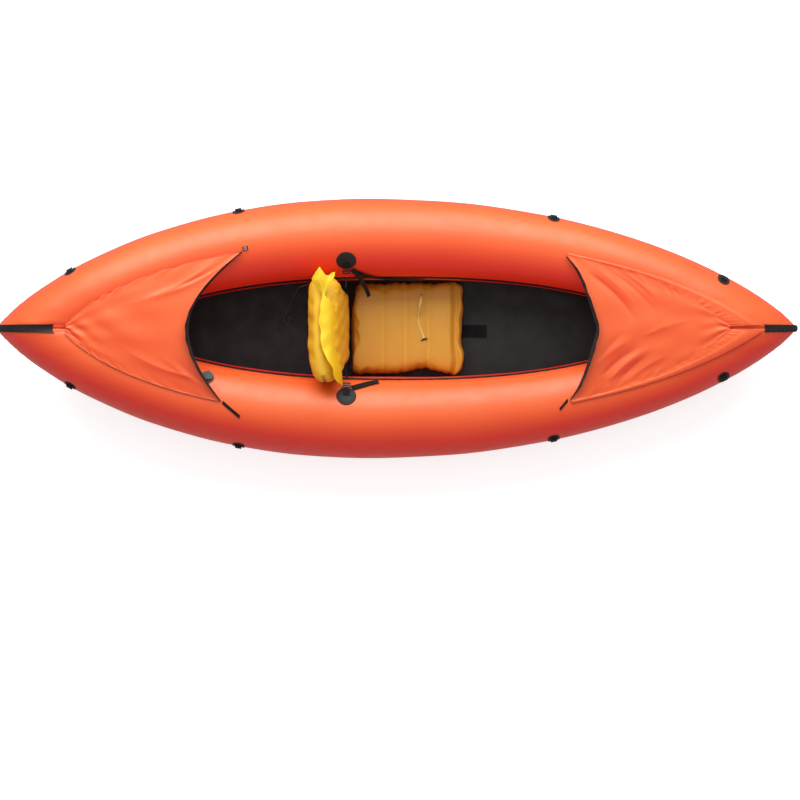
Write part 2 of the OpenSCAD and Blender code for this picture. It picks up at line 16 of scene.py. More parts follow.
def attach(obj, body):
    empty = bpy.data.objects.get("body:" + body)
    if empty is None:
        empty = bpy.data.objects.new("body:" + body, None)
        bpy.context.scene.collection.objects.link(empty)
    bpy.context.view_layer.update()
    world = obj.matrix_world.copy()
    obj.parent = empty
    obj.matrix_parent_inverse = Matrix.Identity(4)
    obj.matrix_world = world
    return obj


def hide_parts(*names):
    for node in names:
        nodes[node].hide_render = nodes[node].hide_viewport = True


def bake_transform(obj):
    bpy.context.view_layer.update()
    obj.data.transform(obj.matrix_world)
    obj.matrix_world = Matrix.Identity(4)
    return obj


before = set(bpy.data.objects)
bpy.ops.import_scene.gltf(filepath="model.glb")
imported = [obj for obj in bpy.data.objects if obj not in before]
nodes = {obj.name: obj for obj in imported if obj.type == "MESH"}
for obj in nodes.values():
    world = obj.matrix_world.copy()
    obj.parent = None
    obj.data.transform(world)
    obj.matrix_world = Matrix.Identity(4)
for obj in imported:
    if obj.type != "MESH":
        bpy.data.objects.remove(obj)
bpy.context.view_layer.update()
MM = 0.001
ROOT = "hull"
BAND_SCALE = 0.314159  # a wave texture repeats every BAND_SCALE / its scale
LOOK = "_look"  # ends the name of each material made here, after its slot in the record


# ---------------------------------------------------------------- hull surface
HALF_BEAM, WIDEST_X, STERN_LEN, BOW_LEN = 414.0, -94.0, 1154.0, 1342.0
HALF_GAP, STERN_CROTCH, BOW_CROTCH = 155.0, 845.0, 829.0
FLOOR_GAP, REST_Z = 0.3, 1.5
INNER_ANGLE = 161.0


def along(t):
    return np.sin(np.pi / 2 * np.abs(t))


def hull_rows(t):
    """Centre, half width and outward direction of the port tube's section at t, from -1 to 1."""
    t = np.asarray(t, float)
    f = along(t)
    out = np.stack([WIDEST_X + np.where(t < 0, -STERN_LEN, BOW_LEN) * f,
                    HALF_BEAM * np.maximum(0, 1 - f**2.12) ** 0.8], -1)
    g = 1.36 * f
    spread = g * (1 + g**8) ** -0.125 / (1.36 * (1 + 1.36**8) ** -0.125)
    inner_x = WIDEST_X + np.where(t < 0, -(STERN_CROTCH + WIDEST_X), BOW_CROTCH - WIDEST_X) * spread
    frac = np.abs(inner_x) / np.where(inner_x < 0, STERN_CROTCH, BOW_CROTCH)
    inner = np.stack([inner_x, HALF_GAP * np.maximum(0, 1 - frac**2.4) ** 0.72], -1)
    across = out - inner
    width = np.linalg.norm(across, axis=-1)
    return (out + inner) / 2, width / 2, across / width[..., None]


def mid_z(x):
    def bend(d, r):
        return (d + np.sqrt(d * d + r * r)) / 2

    return 124.5 + 0.16 * bend(-x - 515, 250) + 0.075 * bend(x - 460, 200)


def half_h(t):
    x = hull_rows(t)[0][..., 0]
    step = (x - 100) / 400
    return (126 - 18 * step / np.sqrt(1 + step**2) + 10 * np.exp(-(((x + 880) / 130) ** 2))
            + 12 * np.exp(-(((x - 1040) / 160) ** 2))) * (1 - 0.07 * np.abs(t) ** 10)


def hull(t, a, off=0.0):
    """Points on the port tube at stations t and angles a (degrees, 90 on top), off mm outside it."""
    t, a, off = np.broadcast_arrays(np.asarray(t, float), np.asarray(a, float), off)
    mid, half_w, out = hull_rows(t)
    turn = np.radians(a)
    xy = mid + out * ((half_w + off) * np.cos(turn))[..., None]
    z = mid_z(xy[..., 0]) + (half_h(t) + off) * np.sin(turn)
    return np.stack([xy[..., 0], xy[..., 1], np.maximum(REST_Z - off, z)], -1)


def seam(t):
    return -20 * (1 - np.abs(t) ** 5)


def t_of_width(width):
    return np.arcsin((1 - (width / HALF_BEAM) ** 1.25) ** (1 / 2.12)) / (np.pi / 2)


def mix(a, b, f):
    return a + (b - a) * f


def smooth(v, low=0.0, high=1.0):
    f = np.clip((v - low) / (high - low), 0, 1)
    return f * f * (3 - 2 * f)


def mirrored(points, side):
    """Points for the port side (1) or the same mirrored to starboard (-1)."""
    return points * np.array([1, side, 1.0])


def ripple(u, v, seed, count=7, spread=1.0):
    """Smooth seeded noise, about -1 to 1, over two coordinates with features about 1 across."""
    rng = np.random.default_rng(seed)
    total = np.zeros(np.broadcast(u, v).shape)
    for _ in range(count):
        angle, phase = rng.uniform(0, np.pi), rng.uniform(0, 2 * np.pi)
        wave = rng.uniform(0.6, 1.7) * spread
        total = total + np.sin(wave * 2 * np.pi * (u * np.cos(angle) + v * np.sin(angle)) + phase)
    return total / math.sqrt(count)


# ---------------------------------------------------------------- mesh making
def add_object(name, verts_mm, faces, material, uv=None, tone=None, body=ROOT, replaces=(), smooth_on=True):
    mesh = bpy.data.meshes.new(name)
    mesh.from_pydata([tuple(v) for v in np.asarray(verts_mm) * MM], [], faces)
    mesh.validate()
    if uv is not None:
        layer = mesh.uv_layers.new(name="cloth")
        loops = np.zeros(len(mesh.loops), np.int64)
        mesh.loops.foreach_get("vertex_index", loops)
        layer.data.foreach_set("uv", np.asarray(uv, np.float32)[loops].ravel())
    if tone is not None:
        mesh.attributes.new("tone", "FLOAT", "POINT").data.foreach_set(
            "value", np.asarray(tone, np.float32).ravel())
    mesh.materials.append(material)
    if smooth_on:
        mesh.polygons.foreach_set("use_smooth", [True] * len(mesh.polygons))
    bm = bmesh.new()
    bm.from_mesh(mesh)
    bmesh.ops.recalc_face_normals(bm, faces=bm.faces)
    bm.to_mesh(mesh)
    bm.free()
    obj = bpy.data.objects.new(name, mesh)
    bpy.context.scene.collection.objects.link(obj)
    if body:
        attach(obj, body)
    if replaces:
        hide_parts(*replaces)
    return obj


def arc_uv(grid):
    """UVs in metres for a grid of points, measured along its rows and columns."""
    rows, cols = grid.shape[:2]
    du = np.linalg.norm(np.diff(grid, axis=0), axis=-1).mean(1)
    dv = np.linalg.norm(np.diff(grid, axis=1), axis=-1).mean(0)
    u = np.concatenate([[0], np.cumsum(du)])
    v = np.concatenate([[0], np.cumsum(dv)])
    return np.stack(np.broadcast_arrays(u[:, None], v[None, :cols]), -1).reshape(rows * cols, 2) * MM


def slab(name, over, under, material, tone=None, **kw):
    """A closed sheet between two grids of points with the same rows and columns."""
    rows, cols = over.shape[:2]
    n = rows * cols
    k = (np.arange(rows - 1)[:, None] * cols + np.arange(cols - 1)[None, :]).ravel()
    top = np.stack([k, k + 1, k + cols + 1, k + cols], -1)
    faces = top.tolist() + (top[:, ::-1] + n).tolist()
    edge = (list(range(cols)) + [i * cols + cols - 1 for i in range(1, rows)]
            + [(rows - 1) * cols + j for j in range(cols - 2, -1, -1)]
            + [i * cols for i in range(rows - 2, 0, -1)])
    faces += [[b, a, a + n, b + n] for a, b in zip(edge, edge[1:] + edge[:1])]
    uv = np.tile(arc_uv(over), (2, 1))
    tones = None if tone is None else np.tile(np.asarray(tone).reshape(n), 2)
    return add_object(name, np.concatenate([over.reshape(n, 3), under.reshape(n, 3)]), faces,
                      material, uv, tones, **kw)


def tube_faces(rings, around):
    """Faces of a closed tube of rings, with an end face at each end."""
    faces = []
    for i in range(rings - 1):
        for k in range(around):
            a, b = i * around + k, i * around + (k + 1) % around
            faces.append([a, a + around, b + around, b])
    return faces + [list(range(around))[::-1], [(rings - 1) * around + k for k in range(around)]]


def curve_through(points, step):
    """Points about step mm apart on a smooth curve through the given points."""
    p = np.asarray(points, float)
    p = np.concatenate([[2 * p[0] - p[1]], p, [2 * p[-1] - p[-2]]])
    out = []
    for i in range(1, len(p) - 2):
        n = max(2, int(np.ceil(np.linalg.norm(p[i + 1] - p[i]) / step)))
        for f in np.arange(n) / n:
            out.append(0.5 * (2 * p[i] + (p[i + 1] - p[i - 1]) * f
                              + (2 * p[i - 1] - 5 * p[i] + 4 * p[i + 1] - p[i + 2]) * f**2
                              + (3 * p[i] - p[i - 1] - 3 * p[i + 1] + p[i + 2]) * f**3))
    return np.array(out + [p[-2]])


def directions(path):
    d = np.gradient(path, axis=0)
    return d / np.linalg.norm(d, axis=1)[:, None]


def sweep(name, path, across, profile, material, scale=None, **kw):
    """A section swept along a path: profile is (across, up) in mm, across each point's side way."""
    ahead = directions(path)
    side = across - ahead * np.sum(across * ahead, 1)[:, None]
    side /= np.linalg.norm(side, axis=1)[:, None]
    up = np.cross(ahead, side)
    scale = np.ones(len(path)) if scale is None else scale
    rings = (path[:, None] + side[:, None] * profile[None, :, 0, None] * scale[:, None, None]
             + up[:, None] * profile[None, :, 1, None] * scale[:, None, None])
    around = len(profile)
    dist = np.concatenate([[0], np.cumsum(np.linalg.norm(np.diff(path, axis=0), axis=1))])
    girth = np.concatenate([[0], np.cumsum(np.linalg.norm(np.diff(profile, axis=0), axis=1))])
    uv = np.stack(np.broadcast_arrays(dist[:, None], girth[None]), -1).reshape(-1, 2) * MM
    return add_object(name, rings.reshape(-1, 3), tube_faces(len(path), around), material, uv, **kw)


def circle(radius, n=16):
    a = np.arange(n) / n * 2 * np.pi
    return np.stack([radius * np.cos(a), radius * np.sin(a)], -1)


def flat_profile(width, thick, n=7):
    """A strap's section: flat, with rounded edges."""
    r = thick / 2
    turns = np.linspace(-np.pi / 2, np.pi / 2, n)
    right = [(width / 2 - r + r * math.cos(a), r * math.sin(a)) for a in turns]
    left = [(-x, -y) for x, y in right]
    middle = [(x, r) for x in np.linspace(width / 2 - r, -width / 2 + r, 6)[1:-1]]
    return np.array(right + middle + left + [(-x, -y) for x, y in middle])


# ---------------------------------------------------------------- materials
class Nodes:
    """A material's node tree with short calls for the nodes used here."""

    def __init__(self, name, colour, rough, metallic=0.0, coat=0.0, sheen=0.0, specular=0.5):
        self.mat = bpy.data.materials.new(name + LOOK)
        self.mat.use_nodes = True
        self.tree = self.mat.node_tree
        self.bsdf = self.tree.nodes["Principled BSDF"]
        self.bsdf.inputs["Base Color"].default_value = (*colour, 1)
        self.bsdf.inputs["Roughness"].default_value = rough
        self.bsdf.inputs["Metallic"].default_value = metallic
        self.bsdf.inputs["Coat Weight"].default_value = coat
        self.bsdf.inputs["Sheen Weight"].default_value = sheen
        self.bsdf.inputs["Specular IOR Level"].default_value = specular
        self.coords = self.tree.nodes.new("ShaderNodeTexCoord")

    def add(self, kind, links=(), **values):
        node = self.tree.nodes.new(kind)
        for key, value in values.items():
            setattr(node, key, value)
        for socket, source in dict(links).items():
            if isinstance(source, bpy.types.NodeSocket):
                self.tree.links.new(source, node.inputs[socket])
            else:
                node.inputs[socket].default_value = source
        return node

    def noise(self, scale, detail=2.0, space="Object", rough=0.5):
        return self.add("ShaderNodeTexNoise", {"Vector": self.coords.outputs[space], "Scale": scale,
                                               "Detail": detail, "Roughness": rough}).outputs["Fac"]

    def span(self, value, low, high, to_low=0.0, to_high=1.0):
        return self.add("ShaderNodeMapRange", {"Value": value, "From Min": low, "From Max": high,
                                               "To Min": to_low, "To Max": to_high}).outputs["Result"]

    def blend(self, factor, a, b, kind="MIX"):
        node = self.add("ShaderNodeMix", data_type="RGBA", blend_type=kind)
        for socket, value in ((0, factor), (6, a), (7, b)):
            if isinstance(value, bpy.types.NodeSocket):
                self.tree.links.new(value, node.inputs[socket])
            else:
                node.inputs[socket].default_value = value if socket == 0 else (*value, 1)
        return node.outputs[2]

    def math(self, operation, a, b=0.0):
        return self.add("ShaderNodeMath", {0: a, 1: b}, operation=operation).outputs[0]

    def slope(self):
        """How far the surface looks up and to port, towards the key light; painted shade in the colour uses
        it, not a real effect.
        """
        normal = self.add("ShaderNodeNewGeometry").outputs["Normal"]
        return self.add("ShaderNodeVectorMath", {0: normal, 1: (0, 0.5, 0.87)},
                        operation="DOT_PRODUCT").outputs["Value"]

    def weave(self, period_mm, space="UV"):
        """Threads over and under each other, one period apart."""
        scale = BAND_SCALE / (period_mm * MM)
        waves = [self.add("ShaderNodeTexWave", {"Vector": self.coords.outputs[space], "Scale": scale},
                          wave_type="BANDS", bands_direction=way).outputs["Fac"] for way in "XY"]
        return self.math("MULTIPLY", *waves)

    def bump(self, height, strength, distance, below=None):
        links = {"Height": height, "Strength": strength, "Distance": distance}
        if below is not None:
            links["Normal"] = below
        return self.add("ShaderNodeBump", links).outputs["Normal"]

    def finish(self, colour=None, rough=None, normal=None):
        for name, source in (("Base Color", colour), ("Roughness", rough), ("Normal", normal)):
            if source is not None:
                self.tree.links.new(source, self.bsdf.inputs[name])
        return self.mat


def attribute(n, name="tone"):
    return n.add("ShaderNodeAttribute", attribute_name=name).outputs["Fac"]


def coated_fabric(name, colour, deep, light, rough=0.5, weave_mm=0.9, wrinkle=0.16, coat=0.3, space="UV",
                  shade_redness=0.85):
    """Coated nylon: fine weave under a smooth coat, faint ripples; the tone attribute paints lighter seam
    lines, a painted highlight on welds, painted light on the backrest and painted shade in fold troughs and
    shadows.

    Painted shade: the colour turns redder, by the given amount, where the surface faces away from the key
    light, down or to starboard.
    """
    n = Nodes(name, colour, rough, coat=coat)
    n.bsdf.inputs["Coat Roughness"].default_value = 0.36
    patches = n.span(n.noise(2.6, 3), 0.35, 0.7)
    base = n.blend(patches, colour, deep)
    fine = n.span(n.noise(38, 4, rough=0.65), 0.56, 0.8, 0, 0.1)
    base = n.blend(fine, base, light)
    tone = attribute(n)
    # Tone above 0 paints towards the light colour, below 0 towards a dark copy of the deep one: painted light
    # and painted shade, and lighter seam lines.
    base = n.blend(n.span(tone, 0, 1), base, light)
    base = n.blend(n.span(tone, 0, -1), base, tuple(c * w for c, w in zip(deep, (0.5, 0.3, 0.4))))
    roughness = n.span(n.noise(24, 3), 0.3, 0.7, rough - 0.07, rough + 0.09)
    # Painted shade: a redder, darker copy of the colour, blended in where the surface faces away from the key
    # light.
    shaded_red = n.blend(shade_redness, base, tuple(c * w for c, w in zip(deep, (1.3, 0.12, 0.4))))
    base = n.blend(n.span(n.slope(), 0.45, 1.0), shaded_red, base)
    threads = n.bump(n.weave(weave_mm, space), 0.12, 0.0002)
    soft = n.bump(n.noise(26, 3), wrinkle, 0.0022, threads)
    creases = n.bump(n.noise(95, 4, rough=0.7), wrinkle * 0.5, 0.0006, soft)
    return n.finish(base, roughness, creases)


def webbing_material(name, colour, light, period=1.6, rough=0.75):
    n = Nodes(name, colour, rough, sheen=0.06, specular=0.2)
    threads = n.weave(period)
    base = n.blend(n.span(threads, 0.2, 1, 0, 0.5), colour, light)
    base = n.blend(n.span(n.noise(30, 4), 0.5, 0.8, 0, 0.35), base, tuple(c * 1.8 for c in light))
    return n.finish(base, n.span(n.noise(60, 3), 0.3, 0.7, rough - 0.1, rough + 0.1),
                    n.bump(threads, 0.6, 0.0005))


def plastic(name, colour, light, rough=0.45, grain=420, bump=0.12):
    n = Nodes(name, colour, rough, specular=0.4)
    base = n.blend(n.span(n.noise(45, 4), 0.45, 0.8, 0, 0.5), colour, light)
    fine = n.noise(grain, 3)
    return n.finish(base, n.span(n.noise(80, 3), 0.3, 0.7, rough - 0.08, rough + 0.12),
                    n.bump(fine, bump, 0.0003))


def rubber_tape(name, colour, light, rough=0.55):
    n = Nodes(name, colour, rough, specular=0.35)
    base = n.blend(n.span(n.noise(14, 4), 0.45, 0.75, 0, 0.6), colour, light)
    base = n.blend(n.span(attribute(n), 0, 1), base, light)
    threads = n.bump(n.weave(1.1), 0.25, 0.0003)
    return n.finish(base, n.span(n.noise(50, 3), 0.3, 0.7, rough - 0.1, rough + 0.12),
                    n.bump(n.noise(120, 3), 0.25, 0.0005, threads))


def metal(name, colour):
    n = Nodes(name, colour, 0.38, metallic=1.0)
    base = n.blend(n.span(n.noise(200, 4), 0.4, 0.7, 0, 0.6), colour, tuple(c * 0.5 for c in colour))
    return n.finish(base, n.span(n.noise(300, 3), 0.3, 0.7, 0.28, 0.5), n.bump(n.noise(600, 2), 0.1, 0.0002))


def rope_material(name, colour, light):
    """Twisted strands: bands wind round the cord along its length."""
    n = Nodes(name, colour, 0.8, sheen=0.3, specular=0.2)
    mapping = n.add("ShaderNodeMapping", {"Vector": n.coords.outputs["UV"], "Rotation": (0, 0, 0.7)})
    strands = n.add("ShaderNodeTexWave", {"Vector": mapping.outputs[0], "Scale": BAND_SCALE / 0.0016},
                    wave_type="BANDS").outputs["Fac"]
    base = n.blend(n.span(strands, 0, 1, 0, 0.7), colour, light)
    return n.finish(base, None, n.bump(strands, 0.8, 0.0006))


HULL = coated_fabric("hull_fabric", (0.78, 0.125, 0.014), (0.75, 0.108, 0.012), (0.86, 0.24, 0.06))
# The lower skins are the hull's own fabric painted darker and redder: painted shade, as they lie in shade.
HULL_LOWER = coated_fabric("hull_lower_fabric", (0.60, 0.04, 0.010), (0.52, 0.03, 0.009), (0.8, 0.14, 0.05))
DECK = coated_fabric("deck_fabric", (0.80, 0.135, 0.018), (0.76, 0.115, 0.015), (0.9, 0.3, 0.1), wrinkle=0.22)
FLOOR = coated_fabric("floor_fabric", (0.0075, 0.0075, 0.008), (0.0065, 0.0065, 0.007), (0.03, 0.03, 0.034),
                      rough=0.6, wrinkle=0.3, coat=0.0, shade_redness=0.0)
# Seat, backrest and flap are one yellow fabric: the seat's colour is darkened as painted shade, the flap's
# lightened as painted light, and the backrest takes the seat's colour painted lighter through its tone.
SEAT = coated_fabric("seat_fabric", (0.68, 0.35, 0.022), (0.63, 0.30, 0.02), (0.95, 0.62, 0.012),
                     wrinkle=0.35, space="Object", shade_redness=0.2)
FLAP = coated_fabric("flap_fabric", (0.94, 0.66, 0.008), (0.9, 0.56, 0.01), (0.97, 0.78, 0.05), wrinkle=0.35,
                     shade_redness=0.1)
TAPE = rubber_tape("black_tape", (0.006, 0.006, 0.006), (0.02, 0.018, 0.018))
BINDING = webbing_material("black_binding", (0.004, 0.004, 0.004), (0.012, 0.011, 0.011))
WEBBING = webbing_material("webbing", (0.004, 0.004, 0.004), (0.012, 0.012, 0.013))
PATCH = rubber_tape("patch_fabric", (0.010, 0.009, 0.009), (0.03, 0.026, 0.025), rough=0.62)
HOOK = webbing_material("hook_strip", (0.006, 0.006, 0.006), (0.02, 0.02, 0.02), period=2.2, rough=0.9)
TUBE = plastic("tube_plastic", (0.78, 0.55, 0.16), (0.9, 0.72, 0.35), rough=0.3, bump=0.05)
BLACK_PLASTIC = plastic("black_plastic", (0.012, 0.012, 0.013), (0.05, 0.05, 0.05))
VALVE = plastic("valve_plastic", (0.05, 0.055, 0.058), (0.12, 0.12, 0.125), rough=0.5)
VALVE_RUBBER = plastic("valve_rubber", (0.015, 0.015, 0.015), (0.04, 0.04, 0.04), rough=0.7)
EYELET = metal("eyelet_metal", (0.42, 0.42, 0.43))
CORD = rope_material("brown_cord", (0.09, 0.035, 0.012), (0.27, 0.13, 0.05))


def keep_node(material, *names):
    """A CAD node whose shape is right keeps it, and takes the full material."""
    for name in names:
        obj = nodes[name]
        if not obj.material_slots:
            obj.data.materials.append(material)
        obj.material_slots[0].material = material


# ---------------------------------------------------------------- camera and lights
CAMERA_H = 4.35
TOP_Z, TOP_WIDTH = 0.215, 2.506  # the view is this wide at the height of the tubes
VIEW_SHIFT = -0.0895
scene = bpy.context.scene
camera_data = bpy.data.cameras.new("camera")
camera_data.sensor_width = 36
camera_data.lens = 36 * (CAMERA_H - TOP_Z) / TOP_WIDTH
camera_data.shift_y = VIEW_SHIFT
camera_data.clip_end = 50
camera = bpy.data.objects.new("camera", camera_data)
camera.location = (0.0, 0.0, CAMERA_H)
scene.collection.objects.link(camera)
scene.camera = camera


def area_light(name, place, aim, size, power, colour=(1, 1, 1)):
    data = bpy.data.lights.new(name, "AREA")
    data.shape = "RECTANGLE"
    data.size, data.size_y = size
    data.energy = power
    data.color = colour
    obj = bpy.data.objects.new(name, data)
    obj.location = place
    obj.rotation_euler = (Vector(aim) - Vector(place)).to_track_quat("-Z", "Y").to_euler()
    scene.collection.objects.link(obj)


area_light("key", (-0.2, 2.9, 2.2), (0, 0, 0.1), (5.0, 3.0), 225)
area_light("top", (0, 0.4, 4.6), (0, 0, 0), (3.0, 1.4), 7)
world = bpy.data.worlds.new("studio")
world.use_nodes = True
world.node_tree.nodes["Background"].inputs[0].default_value = (1, 1, 1, 1)
world.node_tree.nodes["Background"].inputs[1].default_value = 0.48
scene.world = world
scene.view_settings.view_transform = "Standard"

floor_mat = Nodes("studio_floor", (0.86, 0.86, 0.86), 0.9)
floor_mat.bsdf.inputs["Emission Color"].default_value = (1, 1, 1, 1)
floor_mat.bsdf.inputs["Emission Strength"].default_value = 0.6
floor_mat.finish(floor_mat.blend(floor_mat.span(floor_mat.noise(3, 2), 0.3, 0.7), (0.86, 0.86, 0.86),
                                 (0.84, 0.84, 0.84)))
bpy.ops.mesh.primitive_plane_add(size=30, location=(0, 0, -0.0006))
stage = bpy.context.object
stage.name = "studio_floor"
stage.data.materials.append(floor_mat.mat)
stage.visible_diffuse = False
stage.visible_glossy = False


# ---------------------------------------------------------------- cords
SEAT_X, SEAT_Z, SEAT_PITCH = -161, 4.6, 0.9


def on_seat(points):
    """Points in the seat's own frame, which pitches up a little to the bow, in the row frame."""
    c, s = math.cos(math.radians(SEAT_PITCH)), math.sin(math.radians(SEAT_PITCH))
    p = np.asarray(points, float)
    return np.stack([SEAT_X + p[..., 0] * c - p[..., 2] * s, p[..., 1],
                     SEAT_Z + p[..., 0] * s + p[..., 2] * c], -1)


def round_cord(name, points, radius, material, replaced,
               knot=None):
    path = curve_through(points, 2.5)
    ahead = directions(path)
    guide = np.where(np.abs(ahead[:, 2:]) > 0.8, [[1.0, 0, 0]], [[0, 0, 1.0]])
    across = np.cross(ahead, guide)
    for i in range(1, len(across)):
        if across[i] @ across[i - 1] < 0:
            across[i] *= -1
    across = np.array([across[max(0, i - 4):i + 5].mean(0) for i in range(len(across))])
    scale = np.ones(len(path)) if knot is None else knot(path)
    obj = sweep(name, path, across, circle(radius, 14), material, scale=scale, replaces=[replaced])
    return obj


SEAT_H, TUBE_R = 54.0, 3.5
TUBE_Z = SEAT_H + TUBE_R + 0.4
SEAT_TUBE = [
    [232, 108, SEAT_H + 4.2], [232, 108, SEAT_H + 10], [231.6, 106, SEAT_H + 19],
    [231, 100, SEAT_H + 28], [229.5, 91, SEAT_H + 33.5], [227.5, 80, SEAT_H + 34],
    [225.5, 69, SEAT_H + 29], [224, 59, SEAT_H + 21.5], [223, 50, SEAT_H + 14.5],
    [222.3, 41, SEAT_H + 9], [222, 32, TUBE_Z + 1.9], [222.3, 23, TUBE_Z + 0.4],
    [224, 14, TUBE_Z], [227, 5, TUBE_Z], [231, -8, TUBE_Z], [235, -20, TUBE_Z]]
LOOSE_CORD = [
    [-272.3, 159.2, 203.5], [-272.1, 155.4, 205], [-272.2, 151.2, 204.4], [-272.6, 147.6, 200],
    [-275, 144.5, 192], [-282, 142, 178], [-293, 139.5, 155], [-305, 137.5, 128], [-316, 136, 98],
    [-325, 134, 66], [-332, 130, 36], [-338, 124, 14], [-344, 115, 5], [-350, 104, 3.4],
    [-357, 88, 3.4], [-364, 71, 3.4], [-370, 57, 3.4], [-378, 46, 3.4], [-383, 34, 3.4],
    [-380, 22, 3.4], [-372, 16, 3.4], [-364, 20, 3.4], [-362, 30, 3.4], [-366, 40, 3.4]]


def end_knot(path):
    left = np.linalg.norm(path - path[-1], axis=1)
    return 1 + 0.85 * np.exp(-(((left - 5) / 2.6) ** 2))


tube_route = on_seat(SEAT_TUBE)
round_cord("seat_inflation_hose", tube_route, TUBE_R, TUBE, "seat_inflation_tube")
round_cord("brown_loose_cord", LOOSE_CORD, 1.75, CORD, "loose_cord",
           knot=end_knot)
keep_node(TUBE, "seat_tube_mouthpiece")
keep_node(BLACK_PLASTIC, "seat_plug", "loose_cord_fitting")


# ---------------------------------------------------------------- hull skins and tapes
def stations(first, last, n):
    """Stations closer together towards the boat's ends."""
    even = np.linspace(-1, 1, n)
    spaced = np.sin(np.pi / 2 * even) * 0.35 + even * 0.65
    return first + (last - first) * (spaced + 1) / 2


def skin_relief(t, a):
    """Fabric shape on the air-tight tube: drawn puckers at the seams of the tips, in mm."""
    near_seam = np.exp(-(((a - seam(t) + 360 * (a > 300)) / 26) ** 2))
    tip = smooth(np.abs(t), 0.5, 0.97)
    pucker = ripple(t * 34, a / 160, 5) * near_seam * (0.25 + 1.1 * tip)
    end = ripple(t * 9, a / 45, 8) * smooth(np.abs(t), 0.8, 1.0) * 1.4
    slow = ripple(t * 5, a / 90, 3) * 0.5
    edge = np.clip((1 - np.abs(t)) / 0.01, 0, 1)
    return (pucker + end + slow - 0.6) * edge


def skin(name, side, first_angle, last_angle, cols, material, replaced):
    t = stations(-1, 1, 300)[:, None]
    f = np.linspace(0, 1, cols)[None]
    a = mix(first_angle(t), last_angle(t), f)
    relief = skin_relief(t, a) * smooth(np.minimum(f, 1 - f), 0, 0.06)
    band = 0.5 * (1 - smooth(np.minimum(f, 1 - f), 0.065, 0.075))
    over = hull(t, a, relief + band * (np.abs(t) < 0.96))
    under = hull(t, a, -1.2)
    tone = 0.25 * smooth(np.minimum(f, 1 - f), 0.06, 0.07) * (1 - smooth(np.minimum(f, 1 - f), 0.072, 0.09))
    tone = np.broadcast_to(tone, over.shape[:2])
    return slab(name, mirrored(over, side), mirrored(under, side), material, tone, replaces=[replaced])


def const(value):
    return lambda t: value + 0 * t


for word, side in (("port", 1), ("starboard", -1)):
    skin(f"{word}_upper_fabric", side, seam, const(INNER_ANGLE), 84, HULL, f"{word}_upper_skin")
    skin(f"{word}_lower_fabric", side, const(INNER_ANGLE), lambda t: 360 + seam(t), 72, HULL_LOWER,
         f"{word}_lower_skin")


def hull_band(name, side, t, middle, half_deg, off, thick, material, replaced, wave=0.0, cols=9, tone=0.0):
    """A tape along the hull, with thin edges and slightly wavy sides."""
    t = np.asarray(t)[:, None]
    across = np.linspace(-1, 1, cols)[None]
    edge = 1 - np.abs(across) ** 6
    wobble = 1 + wave * ripple(t * 60, 0 * across, 11 + side)
    a = middle(t) + across * half_deg * wobble
    over = hull(t, a, off + 0.25 + (thick - 0.25) * edge + 0.12 * ripple(t * 45, across, 21))
    under = hull(t, a, off)
    return slab(name, mirrored(over, side), mirrored(under, side), material,
                np.broadcast_to(tone, over.shape[:2]), replaces=replaced)


for word, side in (("port", 1), ("starboard", -1)):
    hull_band(f"{word}_side_stripe", side, stations(-0.921, 0.921, 420), seam, 3.4, 0.8, 1.0, TAPE,
              [f"{word}_side_tape"], wave=0.05)
    hull_band(f"{word}_inner_seam_tape", side, stations(-0.75, 0.75, 320), const(INNER_ANGLE), 3.2, 0.9,
              1.0, TAPE, [f"{word}_inner_tape"], wave=0.06)


def end_tape(name, toward, first, last, replaced, ribs):
    """Wide tape over a tip, from its top to its underside; a ribbed one grips the hand."""
    f = np.linspace(0, 1, 260)[:, None]
    a = mix(first, last, f)
    half_w = 11.5
    edge_t = toward * t_of_width(2 * half_w / (1 + np.cos(np.radians(a))))
    rib = 1.5 * np.maximum(0, np.sin(f * ribs * 2 * np.pi)) * (f < 0.85)
    v = np.linspace(-1, 1, 25)[None]
    bridge = 4.2 * smooth(a, 45, 70)  # the tape spans the groove between the tubes

    def layer(off):
        tip, edge = hull(toward + 0 * a, a, 1.3 + off), hull(edge_t, a, 1.3 + off)
        bow = np.sqrt(np.maximum(0, 1 - np.abs(v) ** 2.4))[..., None]
        p = edge * np.array([1, 0, 1.0]) + (tip - edge) * bow
        p[..., 1] = edge[..., 1] * v
        p[..., 2] += bridge * (1 - 0.35 * np.abs(v) ** 6)
        return p

    rounded = 1 - np.abs(v) ** 8
    return slab(name, layer((0.35 + 0.7 * rounded) + rib * rounded), layer(0 * v + 0 * a), TAPE,
                replaces=[replaced])


end_tape("bow_grip_tape", 1, 66, -58, "bow_end_tape", 22)
end_tape("stern_cap_tape", -1, 88.6, -58, "stern_end_tape", 0)


# ---------------------------------------------------------------- floor
def floor_rows(t, v, off):
    """Floor points: v is 0 on the centre line, 1 under a tube's middle, 2 where it ends on its side."""
    w0 = hull(t, 270.0 + 0 * t, off)
    outer = hull(t, mix(270, mix(270, 360 + seam(t), 0.5), np.clip(np.abs(v) - 1, 0, 1)), off)
    flat = np.stack(np.broadcast_arrays(w0[..., 0], w0[..., 1] * np.minimum(1, np.abs(v)), w0[..., 2]), -1)
    p = np.where((np.abs(v) > 1)[..., None], outer, flat)
    p[..., 1] *= np.sign(v)
    return p


